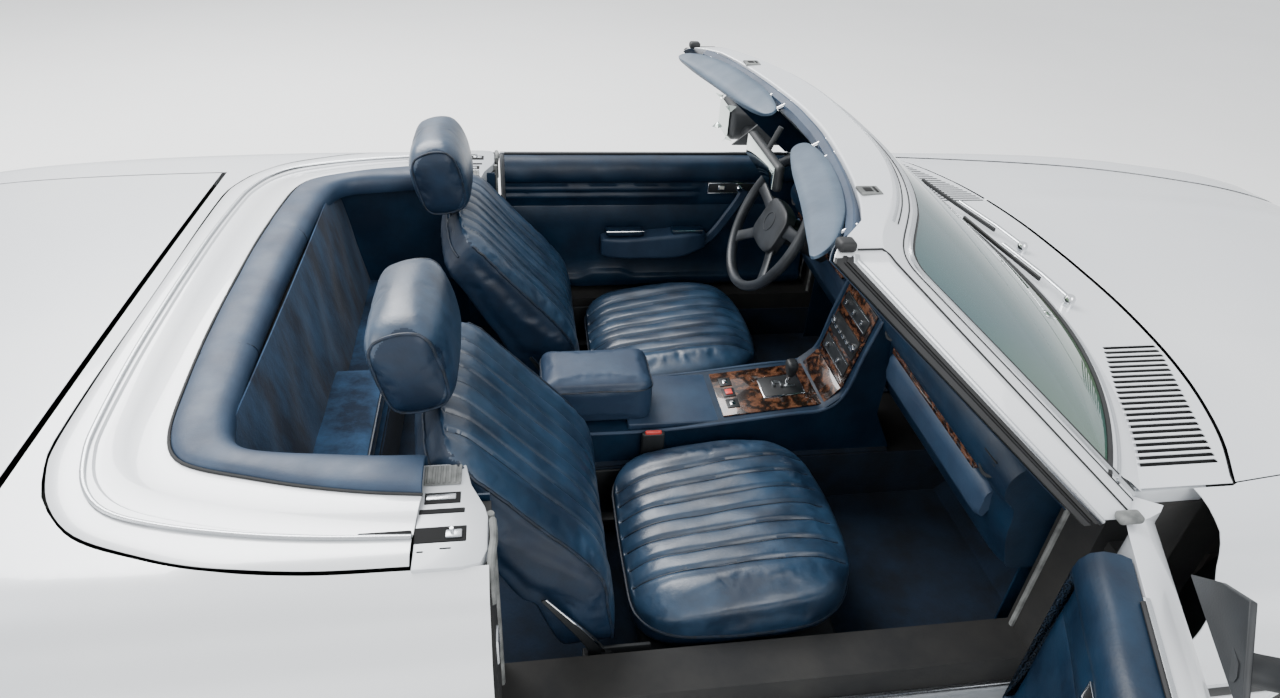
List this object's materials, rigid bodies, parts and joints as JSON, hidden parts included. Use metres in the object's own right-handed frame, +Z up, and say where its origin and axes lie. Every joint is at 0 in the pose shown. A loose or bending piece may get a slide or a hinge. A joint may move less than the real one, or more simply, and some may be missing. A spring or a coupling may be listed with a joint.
{
  "type": "open two-seat roadster car",
  "caption": "Open two-seat touring car with raked windscreen, leather seats, hinged doors, lids and hood, and steered wheels.",
  "frame": {"origin": "on the ground under the tyres, on the centre plane, halfway between the axles", "axes": "+X forward, +Y to the car's left, +Z up"},
  "size_m": [4.3946, 2.8955, 1.2499],
  "materials": {
    "paint": "metallic silver, clear coated",
    "glass": "lightly green tinted",
    "chrome": "bright plated",
    "lamp_clear": "ribbed clear lens",
    "lamp_red": "ribbed red lens",
    "tyre": "moulded",
    "wheel_alloy": "painted alloy",
    "steel": "black underseal",
    "exhaust_steel": "heat dulled",
    "leather": "dark blue, pleated",
    "padding": "dark blue grained cover",
    "carpet": "dark blue velour",
    "dark_plastic": "grained",
    "wiper_metal": "satin grey"
  },
  "bodies": {
    "body": {"cabin_tub": "paint", "jack_and_tie_lugs": "steel", "front_frame": "paint", "deck_tub": "paint", "boot_tub": "paint", "sills": "paint", "front_wings": "paint", "rear_wings": "paint", "tail_panel": "paint", "nose_panel": "paint", "grille": "chrome", "headlamps": "lamp_clear", "tail_lamps": "lamp_red", "cowl_panel": "paint", "windscreen_frame": "paint", "windscreen_glass": "glass", "front_bumper": "chrome", "rear_bumper": "chrome", "front_suspension": "steel", "rear_suspension": "steel", "engine_block": "steel", "propshaft": "steel", "exhaust": "exhaust_steel", "console": "padding", "armrest": "padding", "dashboard": "padding", "steering_column": "dark_plastic", "seat_rails_left": "steel", "seat_rails_right": "steel", "sun_visors": "padding", "interior_mirror": "chrome", "carpets": "carpet", "controls": "dark_plastic", "wipers": "wiper_metal"},
    "hood": {"hood": "paint"},
    "trunk_lid": {"trunk_lid": "paint"},
    "soft_top_lid": {"soft_top_lid": "paint", "deck_trim": "padding"},
    "door_left": {"door_left": "paint", "door_trim_left": "padding"},
    "door_right": {"door_right": "paint", "door_trim_right": "padding"},
    "steering_wheel": {"steering_wheel": "dark_plastic"},
    "knuckle_left": {"knuckle_left": "steel"},
    "knuckle_right": {"knuckle_right": "steel"},
    "seat_left": {"seat_base_left": "leather"},
    "seat_right": {"seat_base_right": "leather"},
    "backrest_left": {"seat_back_left": "leather", "head_restraint_left": "leather"},
    "backrest_right": {"seat_back_right": "leather", "head_restraint_right": "leather"},
    "wheel_front_left": {"wheel_rim_front_left": "wheel_alloy", "tyre_front_left": "tyre"},
    "wheel_front_right": {"wheel_rim_front_right": "wheel_alloy", "tyre_front_right": "tyre"},
    "wheel_rear_left": {"wheel_rim_rear_left": "wheel_alloy", "tyre_rear_left": "tyre"},
    "wheel_rear_right": {"wheel_rim_rear_right": "wheel_alloy", "tyre_rear_right": "tyre"}
  },
  "joints": [
    {"name": "door_left_hinge", "type": "hinge", "parent": "body", "child": "door_left", "pos_m": [0.47, 0.86, 0.6], "axis": [0, 0, -1], "range_deg": [0, 65]},
    {"name": "door_right_hinge", "type": "hinge", "parent": "body", "child": "door_right", "pos_m": [0.47, -0.86, 0.6], "axis": [0, 0, -1], "range_deg": [0, 65]},
    {"name": "hood_hinge", "type": "hinge", "parent": "body", "child": "hood", "pos_m": [0.68, 0, 0.86553], "axis": [0, -1, 0], "range_deg": [0, 48]},
    {"name": "trunk_lid_hinge", "type": "hinge", "parent": "body", "child": "trunk_lid", "pos_m": [-1.35, 0, 0.85526], "axis": [0, 1, 0], "range_deg": [0, 60]},
    {"name": "soft_top_lid_hinge", "type": "hinge", "parent": "body", "child": "soft_top_lid", "pos_m": [-1.272, 0, 0.85931], "axis": [0, -1, 0], "range_deg": [0, 50]},
    {"name": "steer_left", "type": "hinge", "parent": "body", "child": "knuckle_left", "pos_m": [1.228, 0.685, 0.317], "axis": [0, 0, 1], "range_deg": [-34, 34]},
    {"name": "steer_right", "type": "hinge", "parent": "body", "child": "knuckle_right", "pos_m": [1.228, -0.685, 0.317], "axis": [0, 0, 1], "range_deg": [-34, 34]},
    {"name": "steering_wheel_turn", "type": "hinge", "parent": "body", "child": "steering_wheel", "pos_m": [0.148, 0.356, 0.832], "axis": [-0.8988, 0, 0.4384], "range_deg": [-540, 540]},
    {"name": "wheel_front_left_spin", "type": "hinge", "parent": "knuckle_left", "child": "wheel_front_left", "pos_m": [1.228, 0.726, 0.317], "axis": [0, 1, 0], "continuous": true},
    {"name": "wheel_front_right_spin", "type": "hinge", "parent": "knuckle_right", "child": "wheel_front_right", "pos_m": [1.228, -0.726, 0.317], "axis": [0, 1, 0], "continuous": true},
    {"name": "wheel_rear_left_spin", "type": "hinge", "parent": "body", "child": "wheel_rear_left", "pos_m": [-1.228, 0.72, 0.317], "axis": [0, 1, 0], "continuous": true},
    {"name": "wheel_rear_right_spin", "type": "hinge", "parent": "body", "child": "wheel_rear_right", "pos_m": [-1.228, -0.72, 0.317], "axis": [0, 1, 0], "continuous": true},
    {"name": "seat_left_slide", "type": "slide", "parent": "body", "child": "seat_left", "axis": [1, 0, 0], "range_m": [0, 0.15]},
    {"name": "seat_right_slide", "type": "slide", "parent": "body", "child": "seat_right", "axis": [1, 0, 0], "range_m": [0, 0.15]},
    {"name": "backrest_left_fold", "type": "hinge", "parent": "seat_left", "child": "backrest_left", "pos_m": [-0.4, 0.385, 0.38], "axis": [0, 1, 0], "range_deg": [0, 30]},
    {"name": "backrest_right_fold", "type": "hinge", "parent": "seat_right", "child": "backrest_right", "pos_m": [-0.4, -0.385, 0.38], "axis": [0, 1, 0], "range_deg": [0, 30]}
  ],
  "couplings": [
    {"joint": "steer_right", "follows": "steer_left", "ratio": 1},
    {"joint": "steering_wheel_turn", "follows": "steer_left", "ratio": 15.8}
  ]
}
